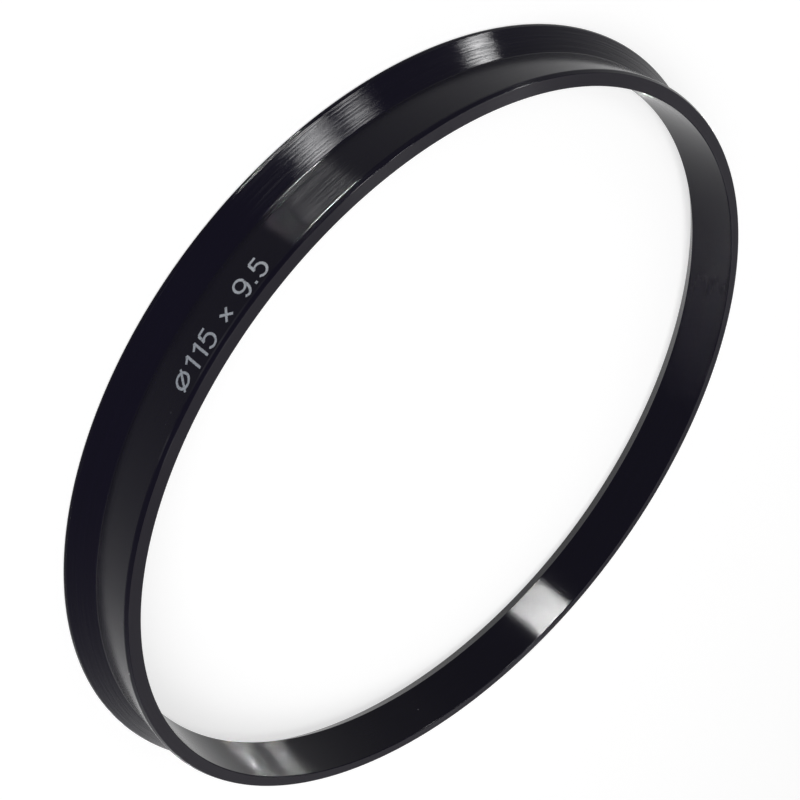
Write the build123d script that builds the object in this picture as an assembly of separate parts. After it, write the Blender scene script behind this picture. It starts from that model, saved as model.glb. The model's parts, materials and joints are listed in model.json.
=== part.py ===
from build123d import *
import math
import os

# A hub centric ring: one turned piece, a thin-walled spigot that flares into a coned lip.
# The axis is Z. The lip end lies on the ground plane and the spigot's nose points up. Sizes in mm.

# Driving dimensions
SPIGOT_DIAMETER = 110.0  # fits the wheel's centre bore
WALL = 1.9  # leaves a bore of 106.2 for the hub
SPIGOT_LENGTH = 6.5  # nose face to the foot of the cone
LIP_OVERHANG = 2.5  # how far the rim stands out from the spigot
LIP_ANGLE = 45.0  # slope of the cone from the axis, in degrees
RIM_LAND = 0.5  # short cylinder at the rim, below the cone
FOOT_RADIUS = 0.3  # tool radius where the spigot meets the cone
NOSE_CHAMFER = 0.5  # length of the lead-in for the wheel, along the axis
NOSE_ANGLE = 30.0  # slope of the lead-in from the axis, in degrees
BORE_CHAMFER = 2.0  # clears the root of the hub, at the lip end
BORE_BREAK = 0.1  # edge break of the bore at the nose
RIM_BREAK = 0.15  # edge break of the rim, above and below the land

# Worked out from the driving dimensions
spigot_radius = SPIGOT_DIAMETER / 2
bore_radius = spigot_radius - WALL
rim_radius = spigot_radius + LIP_OVERHANG
cone_height = LIP_OVERHANG / math.tan(math.radians(LIP_ANGLE))
foot_height = RIM_LAND + cone_height
overall_length = foot_height + SPIGOT_LENGTH
nose_step = NOSE_CHAMFER * math.tan(math.radians(NOSE_ANGLE))


def turned_section():
    """Half section of the ring: its sharp corners, then the edges that the lathe leaves on five of them."""
    bore_base = (bore_radius, 0)
    rim_base = (rim_radius, 0)
    rim_top = (rim_radius, RIM_LAND)
    cone_foot = (spigot_radius, foot_height)
    lead_in_foot = (spigot_radius, overall_length - NOSE_CHAMFER)
    lead_in_top = (spigot_radius - nose_step, overall_length)
    nose_inside = (bore_radius, overall_length)
    outside = [bore_base, rim_base, rim_top, cone_foot, lead_in_foot, lead_in_top]
    edges = [
        (bore_base, BORE_CHAMFER),
        (rim_base, RIM_BREAK),
        (rim_top, RIM_BREAK),
        (nose_inside, BORE_BREAK),
    ]
    section = make_face(Polyline(*outside, nose_inside, close=True))
    for corner, leg in edges:
        section = chamfer(section.vertices().sort_by_distance(corner)[0], leg)
    return fillet(section.vertices().sort_by_distance(cone_foot)[0], FOOT_RADIUS)


def hub_centric_ring():
    """The whole ring, its section turned once round the axis."""
    return revolve(Plane.XZ * turned_section(), Axis.Z)


os.makedirs("parts", exist_ok=True)
export_step(hub_centric_ring(), "parts/hub_centric_ring.step")
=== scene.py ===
import json
import math
from itertools import cycle

import bpy
import numpy as np
from mathutils import Matrix, Vector


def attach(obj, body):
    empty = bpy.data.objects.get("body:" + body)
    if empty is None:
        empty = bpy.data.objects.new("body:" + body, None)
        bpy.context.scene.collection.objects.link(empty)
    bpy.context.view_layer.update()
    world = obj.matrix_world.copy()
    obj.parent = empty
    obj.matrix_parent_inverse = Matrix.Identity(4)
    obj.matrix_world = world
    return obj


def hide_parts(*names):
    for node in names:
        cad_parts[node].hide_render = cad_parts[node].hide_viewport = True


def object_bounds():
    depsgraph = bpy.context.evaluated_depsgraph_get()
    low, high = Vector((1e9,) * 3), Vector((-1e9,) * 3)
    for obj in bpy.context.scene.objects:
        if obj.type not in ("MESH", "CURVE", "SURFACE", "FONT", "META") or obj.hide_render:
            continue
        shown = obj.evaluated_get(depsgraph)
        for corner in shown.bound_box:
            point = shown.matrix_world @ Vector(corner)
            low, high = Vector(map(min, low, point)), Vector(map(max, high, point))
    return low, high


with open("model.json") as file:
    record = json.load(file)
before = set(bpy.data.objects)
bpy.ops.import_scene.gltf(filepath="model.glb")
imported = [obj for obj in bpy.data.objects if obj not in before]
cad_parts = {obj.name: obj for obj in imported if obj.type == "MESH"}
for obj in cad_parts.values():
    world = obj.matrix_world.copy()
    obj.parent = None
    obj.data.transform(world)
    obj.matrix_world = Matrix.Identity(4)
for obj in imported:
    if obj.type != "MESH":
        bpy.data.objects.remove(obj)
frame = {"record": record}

# A hub centric ring, black anodised, lying on its lip with the nose up. Metres; the axis is Z.
cad_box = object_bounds()
MM = 0.001

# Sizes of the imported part
mounts = {mount["name"]: mount for mount in frame["record"]["mounts"]}
rim_radius = cad_box[1].x
nose_height = cad_box[1].z
spigot_radius = mounts["wheel_spigot"]["dims"]["r_mm"] * MM
bore_radius = mounts["hub_bore"]["dims"]["r_mm"] * MM

# The cone and the edges of the turned section
LIP_ANGLE = math.radians(45.0)
RIM_LAND = 0.5 * MM
FOOT_RADIUS = 0.3 * MM
NOSE_CHAMFER = 0.5 * MM
NOSE_ANGLE = math.radians(30.0)
NOSE_RADIUS = 0.4 * MM  # blends the spigot into the nose chamfer
BORE_CHAMFER = 2.0 * MM
BORE_BREAK = 0.1 * MM
RIM_BREAK = 0.15 * MM
SOFT_EDGE = 0.12 * MM  # radius that polishing and anodising leave on an edge
CRISP_EDGE = 0.03 * MM  # the same on the four edges of the rim, which are broken already
ARC_STEPS = 6
HOLD = 0.03 * MM  # distance of the points that hold each flat side flat
ROUND_STEPS = 480
EDGE_LEAST = 0.4  # how far the ends of a rounded edge count as edge, where its middle counts as 1
FACE_MARGIN = 0.01 * MM  # points this near the nose's height lie on the nose face
CONE_MARGIN = 0.05 * MM  # points this far out from the spigot lie on the cone

# The size mark on the spigot
MARK_FIGURES = "O115 x 9.5"  # the O is drawn as a diameter sign
MARK_START = math.radians(-77.1)
MARK_HEIGHT = 2.5 * MM
MARK_FOOT = 0.95 * MM  # from the nose face to the feet of the figures
MARK_STROKE = 0.32 * MM
FIGURE_GAP = 0.20  # between two figures, as a share of their height
SPACE_WIDTH = 0.34  # as a share of the height too
MARK_PROUD = 0.012 * MM
MARK_STEP = 1.15  # every other stroke stands higher by this factor, so that strokes that cross don't share a face
MARK_SUNK = 0.02 * MM
BAR_SIDES = np.array([-1.0, 1.0, 1.0, -1.0])  # side of a stroke's centre line that each edge of its bar lies on

# The surfaces. Pitch, grain and spacing are counts per metre; pairs of colours are the two ends of a range.
FINE_PITCH = 8500.0
CONE_PITCH = 3400.0
MARK_PITCH = 9000.0
LINE_GRAIN = 90.0  # how often a tool line changes along its length
STREAK_GRAIN = 45.0  # the same for the broad streaks
STREAK_PITCH = 0.23  # pitch of the broad streaks, as a share of the tool lines' pitch
LINE_DEPTH = 0.004 * MM
RIDGE_DEPTH = 11.0  # depth of the cone's lines, in depths of the fine ones
DUST_SPACING = 260.0
MARK_DUST_SPACING = 2600.0
SMUDGE_SPACING = 70.0
FRAY_SPACING = 5200.0
DYE = ((0.0012, 0.0004, 0.0070, 1), (0.0024, 0.0012, 0.0100, 1))
FACED_DYE = ((0.021, 0.019, 0.026, 1), (0.031, 0.029, 0.036, 1))
WORN_EDGE = (0.16, 0.16, 0.17, 1)
WEAR_SHARE = 0.2
DUST = (0.25, 0.25, 0.27, 1)
DUST_SHARE = 0.4
FACED_DULLNESS = 0.35
OXIDE_REFLECTION = 0.07
MARK_GREYS = ((0.05, 0.055, 0.07, 1), (0.37, 0.40, 0.46, 1))
MARK_LINE = (0.24, 0.26, 0.30, 1)
MARK_SPECK = (0.05, 0.05, 0.06, 1)
MARK_SPECK_SHARE = 0.7
MARK_FRAY = 0.22
MARK_REFLECTION = 0.2
WHITE = (1, 1, 1, 1)

# Camera of the photograph, in the ring's frame
EYE = Vector((0.0, -141.406, 93.016)) * MM
TARGET = Vector((-0.362, -24.607, 9.5)) * MM
ROLL = math.radians(-126.878)
LENS = 53.68  # this and the sensor in mm
SENSOR = 36.0
CLIP_START = 0.005

# Light. Azimuth and elevation in degrees, then width and height. The soft lamp has a level at the ring and lights the
# colours; the strips have a brightness and show only as highlights.
SOFT_DISTANCE = 1.5
STRIP_DISTANCE = 0.45
SOFT_LAMP = (-60.0, 60.0, 1.4, 1.4, 2.2)
STRIPS = {
    "strip_front": (-129.0, 39.0, 0.055, 0.10, 100.0),
    "strip_front_narrow": (-142.0, 39.0, 0.035, 0.10, 80.0),
    "strip_side": (-172.0, 20.0, 0.04, 0.10, 92.0),
    "strip_edge": (166.0, 52.0, 0.06, 0.14, 20.0),
    "strip_below": (-117.0, -19.5, 0.10, 0.11, 265.0),
    "strip_below_near": (-109.6, -44.0, 0.032, 0.11, 5.5),
    "strip_low": (-107.7, -2.0, 0.04, 0.06, 80.0),
    "panel_below": (12.0, -26.0, 0.70, 0.07, 1.8),
    "strip_back_left": (112.0, -27.0, 0.025, 0.15, 10.0),
    "strip_back_right": (127.0, -27.0, 0.025, 0.15, 12.0),
}
FILL = 0.25
FLOOR_COLOUR = 0.5
FLOOR_GLOW = 0.66
FLOOR_GLOW_FAR = 0.9
FLOOR_NEAR = 0.25  # the glow grows between these two distances from the ring's axis
FLOOR_FAR = 1.5
FLOOR_DROP = 0.02 * MM
FLOOR_HALF = 4.0


def shift_round(points, step):
    """The list of points turned by whole places, so that each point meets its neighbour."""
    return np.roll(points, step, axis=0)


def unit(vectors):
    """Each vector divided by its length."""
    return vectors / np.linalg.norm(vectors, axis=-1, keepdims=True)


def turned_section():
    """Corners of the section, counter-clockwise from the bore chamfer's end on the lip, and the rounding of each."""
    cone_height = (rim_radius - spigot_radius) / math.tan(LIP_ANGLE)
    foot_height = RIM_LAND + cone_height
    break_out = RIM_BREAK * math.sin(LIP_ANGLE)
    break_up = RIM_BREAK * math.cos(LIP_ANGLE)
    nose_step = NOSE_CHAMFER * math.tan(NOSE_ANGLE)
    corners = np.array([
        # radius, height, rounding
        (bore_radius + BORE_CHAMFER, 0.0, SOFT_EDGE),
        (rim_radius - RIM_BREAK, 0.0, CRISP_EDGE),
        (rim_radius, RIM_BREAK, CRISP_EDGE),
        (rim_radius, RIM_LAND - RIM_BREAK, CRISP_EDGE),
        (rim_radius - break_out, RIM_LAND + break_up, CRISP_EDGE),
        (spigot_radius, foot_height, FOOT_RADIUS),
        (spigot_radius, nose_height - NOSE_CHAMFER, NOSE_RADIUS),
        (spigot_radius - nose_step, nose_height, SOFT_EDGE),
        (bore_radius + BORE_BREAK, nose_height, SOFT_EDGE),
        (bore_radius, nose_height - BORE_BREAK, SOFT_EDGE),
        (bore_radius, BORE_CHAMFER, SOFT_EDGE),
    ])
    return corners[:, :2], corners[:, 2]


def round_corners(corners, radii):
    """Closed outline whose corners are tangent arcs.

    At a corner the direction turns by an angle. The arc starts radius * tan(angle / 2) before the corner, and the
    point at share s of the turn is start + radius * (sin(s * angle) * along + (1 - cos(s * angle)) * inward).
    One more point before and one after each arc hold the straight sides flat. The second result is how far each
    point lies on an edge that stands out, from 0 to 1; it stays 0 in a hollow corner.
    """
    before = unit(corners - shift_round(corners, 1))
    after = shift_round(before, -1)
    turn = np.arctan2(before[:, 0] * after[:, 1] - before[:, 1] * after[:, 0], (before * after).sum(axis=1))
    reach = radii * np.tan(np.abs(turn) / 2)
    inward = np.stack([-before[:, 1], before[:, 0]], axis=1) * np.sign(turn)[:, None]
    start = corners - before * reach[:, None]
    share = np.linspace(0.0, 1.0, ARC_STEPS + 1)
    angle = np.abs(turn)[:, None] * share
    along = np.sin(angle)[..., None] * before[:, None]
    across = (1 - np.cos(angle))[..., None] * inward[:, None]
    arcs = start[:, None] + radii[:, None, None] * (along + across)
    first = arcs[:, :1] - HOLD * before[:, None]
    last = arcs[:, -1:] + HOLD * after[:, None]
    outline = np.concatenate([first, arcs, last], axis=1)
    on_edge = np.zeros(outline.shape[:2])
    on_edge[:, 1:-1] = np.sin(math.pi * share) * (1 - EDGE_LEAST) + EDGE_LEAST
    on_edge[turn < 0] = 0.0
    return outline.reshape(-1, 2), on_edge.ravel()


def mesh_piece(name, points, faces, material):
    """A smooth shaded mesh at the origin."""
    mesh = bpy.data.meshes.new(name)
    mesh.from_pydata(points.tolist(), [], faces.tolist())
    mesh.shade_smooth()
    mesh.materials.append(material)
    piece = bpy.data.objects.new(name, mesh)
    bpy.context.scene.collection.objects.link(piece)
    return piece


def point_values(piece, name, values):
    """One number for each point of the mesh, which its material reads by name."""
    layer = piece.data.attributes.new(name, "FLOAT", "POINT")
    layer.data.foreach_set("value", np.asarray(values, np.float32).ravel())


def ring_faces(sections, points):
    """Quads between neighbouring sections of a surface that closes both ways."""
    section = np.arange(sections)[:, None]
    point = np.arange(points)[None, :]
    next_section = (section + 1) % sections
    next_point = (point + 1) % points
    quads = np.stack([
        section * points + point,
        next_section * points + point,
        next_section * points + next_point,
        section * points + next_point,
    ], axis=-1)
    return quads.reshape(-1, 4)


def turned_ring(material):
    """The section carried once round the axis: x = radius * cos(turn), y = radius * sin(turn), z = height."""
    outline, on_edge = round_corners(*turned_section())
    turn = np.linspace(0.0, 2 * math.pi, ROUND_STEPS, endpoint=False)
    radius, height = outline[:, 0], outline[:, 1]
    x = np.cos(turn)[:, None] * radius
    y = np.sin(turn)[:, None] * radius
    z = np.broadcast_to(height, x.shape)
    points = np.stack([x, y, z], axis=-1).reshape(-1, 3)
    piece = mesh_piece("turned_ring", points, ring_faces(ROUND_STEPS, len(outline)), material)
    step = np.linalg.norm(np.diff(outline, axis=0), axis=1)
    travel = np.concatenate([[0.0], np.cumsum(step)])
    faced = (height > nose_height - FACE_MARGIN).astype(float)
    on_cone = ((radius > spigot_radius + CONE_MARGIN) & (height > RIM_LAND)).astype(float)
    point_values(piece, "across", np.tile(travel, ROUND_STEPS))
    point_values(piece, "edge", np.tile(on_edge, ROUND_STEPS))
    point_values(piece, "faced", np.tile(faced, ROUND_STEPS))
    point_values(piece, "coned", np.tile(on_cone, ROUND_STEPS))
    return piece


def oval(centre, half, start, end, steps):
    """Points on an ellipse: centre + half * (cos, sin) of an angle that runs from start to end."""
    angle = np.radians(np.linspace(start, end, steps))
    return np.stack([centre[0] + half[0] * np.cos(angle), centre[1] + half[1] * np.sin(angle)], axis=1)


def figure_strokes(figure):
    """Centre lines of a plain figure one unit high, each with a flag for a closed line, and the figure's width."""
    if figure == "1":
        stem = np.array([(0.34, 0.0), (0.34, 0.5), (0.34, 1.0)])
        flag = np.array([(0.34, 1.0), (0.22, 0.87), (0.06, 0.78)])
        return [(stem, False), (flag, False)], 0.40
    if figure == "9":
        bowl = oval((0.27, 0.69), (0.27, 0.31), 0, 360, 40)
        back = oval((0.27, 0.5), (0.27, 0.5), -6, -125, 20)
        return [(np.concatenate([bowl, back]), False)], 0.54
    if figure == "5":
        bar = np.array([(0.48, 1.0), (0.27, 1.0), (0.09, 1.0)])
        stem = np.array([(0.09, 1.0), (0.07, 0.77), (0.05, 0.54)])
        bowl = oval((0.25, 0.34), (0.28, 0.34), 140, -145, 36)
        return [(bar, False), (stem, False), (bowl, False)], 0.53
    if figure == "x":
        rising = np.array([(0.0, 0.10), (0.22, 0.36), (0.44, 0.62)])
        falling = np.array([(0.0, 0.62), (0.22, 0.36), (0.44, 0.10)])
        return [(rising, False), (falling, False)], 0.44
    if figure == ".":
        return [(np.array([(0.07, 0.0), (0.07, 0.065), (0.07, 0.13)]), False)], 0.14
    if figure == "O":
        loop = oval((0.36, 0.5), (0.34, 0.34), 0, 352.5, 48)
        slash = np.array([(0.06, 0.08), (0.36, 0.5), (0.66, 0.92)])
        return [(loop, True), (slash, False)], 0.72
    return [], SPACE_WIDTH


def stroke_strip(line, closed, proud):
    """A flat bar carried along a centre line on the spigot.

    The bar's four edges lie half a stroke to either side of the line, proud of the spigot and sunk in it. A point
    at distance u along the mark, v above the feet of the figures and h out from the spigot becomes
    radius = spigot + h, turn = start - u / spigot, height = feet - v, so that the figures stand on the nose.
    """
    ahead = shift_round(line, -1) - line
    behind = line - shift_round(line, 1)
    if not closed:
        ahead[-1] = behind[-1]
        behind[0] = ahead[0]
    along = unit(unit(ahead) + unit(behind))
    side = np.stack([-along[:, 1], along[:, 0]], axis=1) * MARK_STROKE / 2
    out = np.array([proud, proud, -MARK_SUNK, -MARK_SUNK])
    flat = line[:, None] + side[:, None] * BAR_SIDES[None, :, None]
    turn = MARK_START - flat[..., 0] / spigot_radius
    radius = np.broadcast_to(spigot_radius + out, turn.shape)
    height = nose_height - MARK_FOOT - flat[..., 1]
    points = np.stack([radius * np.cos(turn), radius * np.sin(turn), height], axis=-1).reshape(-1, 3)
    edges = len(BAR_SIDES)
    faces = ring_faces(len(line), edges)
    if not closed:
        start_cap = np.arange(edges)
        end_cap = len(points) - 1 - start_cap
        faces = np.concatenate([faces[:-edges], [start_cap, end_cap]])
    return points, faces


def size_mark(material):
    """The ring's overall diameter and height as plain figures, side by side along the spigot."""
    points, faces = [], []
    place, count = 0.0, 0
    proud = cycle((MARK_PROUD * MARK_STEP, MARK_PROUD))
    for figure in MARK_FIGURES:
        strokes, width = figure_strokes(figure)
        for line, closed in strokes:
            moved = line * MARK_HEIGHT + np.array([place, 0.0])
            strip, strip_faces = stroke_strip(moved, closed, next(proud))
            points.append(strip)
            faces.append(strip_faces + count)
            count += len(strip)
        place += (width + FIGURE_GAP) * MARK_HEIGHT
    piece = mesh_piece("size_mark", np.concatenate(points), np.concatenate(faces), material)
    piece.data.shade_flat()
    point_values(piece, "side", np.tile(BAR_SIDES, count // len(BAR_SIDES)))
    return piece


class Nodes:
    """A short way to place nodes in a tree and join them."""

    def __init__(self, tree):
        self.tree = tree

    def put(self, kind, **settings):
        node = self.tree.nodes.new(kind)
        for key, value in settings.items():
            setattr(node, key, value)
        return node

    def join(self, source, target):
        self.tree.links.new(source, target)

    def fill(self, target, value):
        if isinstance(value, bpy.types.NodeSocket):
            self.join(value, target)
        else:
            target.default_value = value

    def math(self, operation, a, b=0.0, clamp=False):
        node = self.put("ShaderNodeMath", operation=operation, use_clamp=clamp)
        self.fill(node.inputs[0], a)
        self.fill(node.inputs[1], b)
        return node.outputs[0]

    def spread(self, value, low, high, to_low=0.0, to_high=1.0):
        node = self.put("ShaderNodeMapRange", interpolation_type="SMOOTHSTEP")
        self.fill(node.inputs["Value"], value)
        self.fill(node.inputs["From Min"], low)
        self.fill(node.inputs["From Max"], high)
        self.fill(node.inputs["To Min"], to_low)
        self.fill(node.inputs["To Max"], to_high)
        return node.outputs["Result"]

    def colours(self, share, a, b):
        node = self.put("ShaderNodeMix", data_type="RGBA")
        self.fill(node.inputs["Factor"], share)
        self.fill(node.inputs["A"], a)
        self.fill(node.inputs["B"], b)
        return node.outputs["Result"]

    def value_at(self, name):
        return self.put("ShaderNodeAttribute", attribute_name=name).outputs["Fac"]

    def noise(self, place, scale, detail, rough):
        node = self.put("ShaderNodeTexNoise")
        self.fill(node.inputs["Vector"], place)
        node.inputs["Scale"].default_value = scale
        node.inputs["Detail"].default_value = detail
        node.inputs["Roughness"].default_value = rough
        return node.outputs["Fac"]


def new_group(name, inputs, outputs):
    """An empty shader node group with named sockets."""
    group = bpy.data.node_groups.new(name, "ShaderNodeTree")
    for socket, kind in inputs:
        group.interface.new_socket(socket, in_out="INPUT", socket_type=kind)
    for socket, kind in outputs:
        group.interface.new_socket(socket, in_out="OUTPUT", socket_type=kind)
    nodes = Nodes(group)
    return group, nodes, nodes.put("NodeGroupInput"), nodes.put("NodeGroupOutput")


def turning_marks_group():
    """Fine lines that the tool leaves: noise that is short across the section and long round the axis."""
    group, nodes, given, out = new_group(
        "turning_marks",
        [("Place", "NodeSocketVector"), ("Across", "NodeSocketFloat"), ("Pitch", "NodeSocketFloat")],
        [("Height", "NodeSocketFloat"), ("Streak", "NodeSocketFloat")],
    )
    split = nodes.put("ShaderNodeSeparateXYZ")
    nodes.join(given.outputs["Place"], split.inputs[0])
    lines = nodes.math("MULTIPLY", given.outputs["Across"], given.outputs["Pitch"])
    grain = nodes.put("ShaderNodeCombineXYZ")
    for axis in "XY":
        nodes.join(nodes.math("MULTIPLY", split.outputs[axis], LINE_GRAIN), grain.inputs[axis])
    nodes.join(lines, grain.inputs["Z"])
    nodes.join(nodes.noise(grain.outputs[0], 1.0, 3.0, 0.6), out.inputs["Height"])
    broad = nodes.put("ShaderNodeCombineXYZ")
    for axis in "XY":
        nodes.join(nodes.math("MULTIPLY", split.outputs[axis], STREAK_GRAIN), broad.inputs[axis])
    nodes.join(nodes.math("MULTIPLY", lines, STREAK_PITCH), broad.inputs["Z"])
    nodes.join(nodes.noise(broad.outputs[0], 1.0, 2.0, 0.5), out.inputs["Streak"])
    return group


def handling_group():
    """Dust specks and faint cloudy smudges from handling."""
    group, nodes, given, out = new_group(
        "handling",
        [("Place", "NodeSocketVector"), ("Spacing", "NodeSocketFloat")],
        [("Speck", "NodeSocketFloat"), ("Smudge", "NodeSocketFloat")],
    )
    cells = nodes.put("ShaderNodeTexVoronoi")
    nodes.join(given.outputs["Place"], cells.inputs["Vector"])
    nodes.join(given.outputs["Spacing"], cells.inputs["Scale"])
    size = nodes.put("ShaderNodeSeparateColor")
    nodes.join(cells.outputs["Color"], size.inputs[0])
    chosen = nodes.spread(size.outputs["Red"], 0.80, 0.95)
    near = nodes.spread(cells.outputs["Distance"], 0.02, 0.05, 1.0, 0.0)
    nodes.join(nodes.math("MULTIPLY", near, chosen), out.inputs["Speck"])
    nodes.join(nodes.noise(given.outputs["Place"], SMUDGE_SPACING, 4.0, 0.6), out.inputs["Smudge"])
    return group


def new_material(name):
    """A material with an empty Principled shader, and its nodes."""
    material = bpy.data.materials.new(name)
    material.use_nodes = True
    nodes = Nodes(material.node_tree)
    return material, nodes, material.node_tree.nodes["Principled BSDF"]


def place_group(nodes, group, **given):
    """A node group placed in a material, with its own values."""
    node = nodes.put("ShaderNodeGroup", node_tree=group)
    for socket, value in given.items():
        nodes.fill(node.inputs[socket], value)
    return node.outputs


def anodised_black(turning_marks, handling):
    """Black dyed oxide over turned aluminium: satin, long highlights across the tool lines, paler worn edges."""
    material, nodes, shader = new_material("anodised_black")
    place = nodes.put("ShaderNodeTexCoord").outputs["Object"]
    across, edge, faced, coned = [nodes.value_at(name) for name in ("across", "edge", "faced", "coned")]
    lines = place_group(nodes, turning_marks, Place=place, Across=across, Pitch=FINE_PITCH)
    cone_lines = place_group(nodes, turning_marks, Place=place, Across=across, Pitch=CONE_PITCH)
    hands = place_group(nodes, handling, Place=place, Spacing=DUST_SPACING)
    black = nodes.colours(lines["Streak"], *DYE)
    matte = nodes.colours(hands["Smudge"], *FACED_DYE)
    body = nodes.colours(faced, black, matte)
    wear = nodes.math("MULTIPLY", edge, nodes.spread(hands["Smudge"], 0.45, 0.75), clamp=True)
    worn = nodes.colours(nodes.math("MULTIPLY", wear, WEAR_SHARE), body, WORN_EDGE)
    dusty = nodes.colours(nodes.math("MULTIPLY", hands["Speck"], DUST_SHARE), worn, DUST)
    nodes.join(dusty, shader.inputs["Base Color"])
    fine = nodes.spread(lines["Height"], 0.3, 0.7, 0.085, 0.145)
    coarse = nodes.spread(cone_lines["Height"], 0.40, 0.62, 0.0, 0.07)
    satin = nodes.math("ADD", fine, nodes.math("MULTIPLY", coned, coarse))
    dull = nodes.math("ADD", satin, nodes.math("MULTIPLY", faced, FACED_DULLNESS))
    smeared = nodes.spread(hands["Smudge"], 0.5, 0.8, 0.0, 0.03)
    nodes.join(nodes.math("ADD", dull, smeared), shader.inputs["Roughness"])
    bump = nodes.put("ShaderNodeBump")
    bump.inputs["Strength"].default_value = 1.0
    bump.inputs["Distance"].default_value = LINE_DEPTH
    ridges = nodes.math("MULTIPLY", coned, nodes.math("SUBTRACT", cone_lines["Height"], 0.5))
    relief = nodes.math("ADD", lines["Height"], nodes.math("MULTIPLY", ridges, RIDGE_DEPTH))
    nodes.join(relief, bump.inputs["Height"])
    nodes.join(bump.outputs["Normal"], shader.inputs["Normal"])
    shader.inputs["Specular IOR Level"].default_value = OXIDE_REFLECTION
    shader.inputs["Anisotropic"].default_value = 1.0
    shader.inputs["Anisotropic Rotation"].default_value = 0.25
    return material


def mark_grey(turning_marks, handling):
    """Pale grey laser mark: matte, a little patchy, with the tool lines showing through."""
    material, nodes, shader = new_material("mark_grey")
    place = nodes.put("ShaderNodeTexCoord").outputs["Object"]
    across = nodes.put("ShaderNodeSeparateXYZ")
    nodes.join(place, across.inputs[0])
    lines = place_group(nodes, turning_marks, Place=place, Across=across.outputs["Z"], Pitch=MARK_PITCH)
    hands = place_group(nodes, handling, Place=place, Spacing=MARK_DUST_SPACING)
    near_side = nodes.math("POWER", nodes.value_at("side"), 4.0)
    fray = nodes.math("MULTIPLY", near_side, MARK_FRAY)
    frayed = nodes.math("SUBTRACT", nodes.noise(place, FRAY_SPACING, 3.0, 0.6), fray)
    patch = nodes.spread(frayed, 0.20, 0.52)
    grey = nodes.colours(patch, *MARK_GREYS)
    lined = nodes.colours(nodes.spread(lines["Streak"], 0.35, 0.75, 0.0, 0.35), grey, MARK_LINE)
    specked = nodes.colours(nodes.math("MULTIPLY", hands["Speck"], MARK_SPECK_SHARE), lined, MARK_SPECK)
    nodes.join(specked, shader.inputs["Base Color"])
    nodes.join(nodes.spread(patch, 0.0, 1.0, 0.75, 0.6), shader.inputs["Roughness"])
    shader.inputs["Specular IOR Level"].default_value = MARK_REFLECTION
    return material


def seen_directly(nodes):
    """1 for rays that come from the camera, off a mirror or through glass, and 0 for the rest."""
    path = nodes.put("ShaderNodeLightPath").outputs
    seen = nodes.math("MAXIMUM", path["Is Camera Ray"], path["Is Glossy Ray"])
    return nodes.math("MAXIMUM", seen, path["Is Transmission Ray"])


def floor_white():
    """White floor: a matte colour, with a glow that only direct rays see and that grows where the lamp fades."""
    material, nodes, shader = new_material("floor_white")
    seen = seen_directly(nodes)
    away = nodes.put("ShaderNodeVectorMath", operation="LENGTH")
    nodes.join(nodes.put("ShaderNodeTexCoord").outputs["Object"], away.inputs[0])
    glow = nodes.spread(away.outputs["Value"], FLOOR_NEAR, FLOOR_FAR, FLOOR_GLOW, FLOOR_GLOW_FAR)
    shader.inputs["Base Color"].default_value = (FLOOR_COLOUR, FLOOR_COLOUR, FLOOR_COLOUR, 1)
    shader.inputs["Roughness"].default_value = 0.9
    shader.inputs["Specular IOR Level"].default_value = 0.0
    shader.inputs["Emission Color"].default_value = WHITE
    nodes.join(nodes.math("MULTIPLY", seen, glow), shader.inputs["Emission Strength"])
    return material


def floor():
    """A flat square far larger than the ring. It casts no shadow, so the strips below it reach the ring."""
    corners = np.array([(-1, -1), (1, -1), (1, 1), (-1, 1)]) * FLOOR_HALF
    points = np.column_stack([corners, np.full(len(corners), -FLOOR_DROP)])
    piece = mesh_piece("floor", points, np.array([[0, 1, 2, 3]]), floor_white())
    piece.visible_shadow = False


def surround():
    """A white surround that lights the ring softly."""
    world = bpy.data.worlds.new("surround")
    bpy.context.scene.world = world
    world.use_nodes = True
    nodes = Nodes(world.node_tree)
    seen = seen_directly(nodes)
    back = world.node_tree.nodes["Background"]
    back.inputs["Color"].default_value = WHITE
    nodes.join(nodes.spread(seen, 0.0, 1.0, FILL, 1.0), back.inputs["Strength"])


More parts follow.
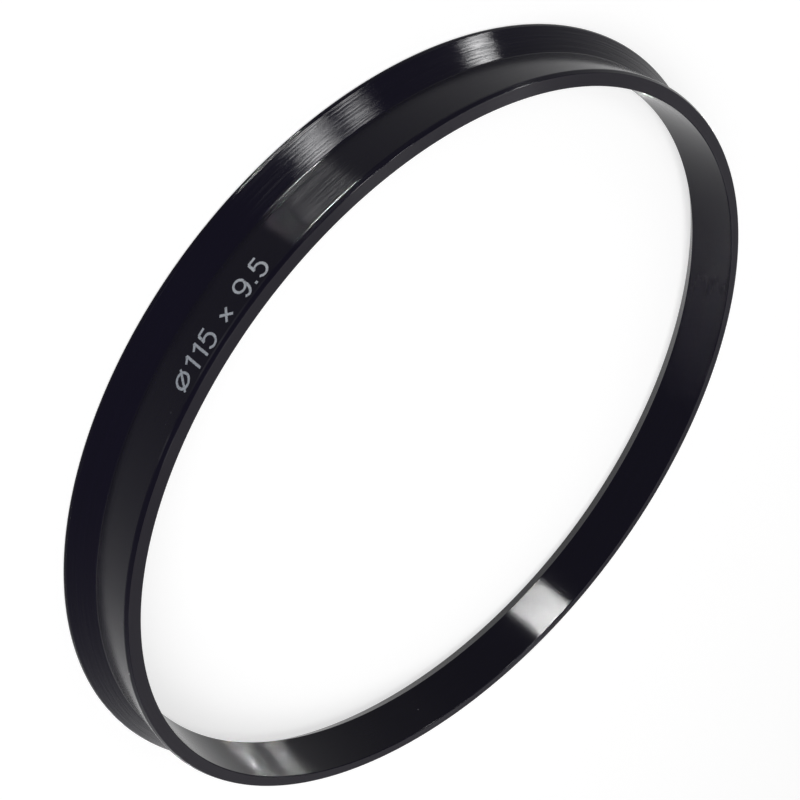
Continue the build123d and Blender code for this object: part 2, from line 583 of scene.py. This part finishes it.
def lamp(name, distance, azimuth, elevation, width, height):
    """An area lamp that faces the ring from a direction seen from its middle."""
    a, e = math.radians(azimuth), math.radians(elevation)
    way = Vector((math.cos(e) * math.cos(a), math.cos(e) * math.sin(a), math.sin(e)))
    data = bpy.data.lights.new(name, "AREA")
    data.shape = "RECTANGLE"
    data.size = width
    data.size_y = height
    light = bpy.data.objects.new(name, data)
    light.location = way * distance + Vector((0, 0, nose_height / 2))
    light.rotation_euler = way.to_track_quat("Z", "Y").to_euler()
    bpy.context.scene.collection.objects.link(light)
    return light


def soft_lamp(azimuth, elevation, width, height, level):
    """The lamp that lights the colours: its power is level * pi * distance squared."""
    light = lamp("soft_lamp", SOFT_DISTANCE, azimuth, elevation, width, height)
    light.data.energy = level * math.pi * SOFT_DISTANCE ** 2
    light.visible_glossy = False


def strip_lamp(name, azimuth, elevation, width, height, brightness):
    """A strip that shows only as a highlight: its power is brightness * pi * area.

    A reflected ray would end on the floor before it met a strip below, so those strips are only sampled as lamps.
    """
    light = lamp(name, STRIP_DISTANCE, azimuth, elevation, width, height)
    light.data.energy = brightness * math.pi * width * height
    light.visible_diffuse = False
    light.data.cycles.use_multiple_importance_sampling = elevation > 0


def photo_camera():
    """The camera at the eye, looking at the target, turned about its own axis by the roll."""
    forward = (TARGET - EYE).normalized()
    side = forward.cross(Vector((0, 0, 1))).normalized()
    above = side.cross(forward)
    up = math.cos(ROLL) * above + math.sin(ROLL) * side
    right = forward.cross(up)
    data = bpy.data.cameras.new("photo_camera")
    data.lens = LENS
    data.sensor_width = SENSOR
    data.clip_start = CLIP_START
    camera = bpy.data.objects.new("photo_camera", data)
    turn = Matrix((right, up, -forward)).transposed().to_4x4()
    camera.matrix_world = Matrix.Translation(EYE) @ turn
    bpy.context.scene.collection.objects.link(camera)
    bpy.context.scene.camera = camera


turning_marks = turning_marks_group()
handling = handling_group()

ring = turned_ring(anodised_black(turning_marks, handling))
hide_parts("hub_centric_ring")
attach(ring, "root")

mark = size_mark(mark_grey(turning_marks, handling))
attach(mark, "root")

floor()
surround()
soft_lamp(*SOFT_LAMP)
for strip_name, strip_setting in STRIPS.items():
    strip_lamp(strip_name, *strip_setting)
photo_camera()
bpy.context.scene.view_settings.view_transform = "Standard"
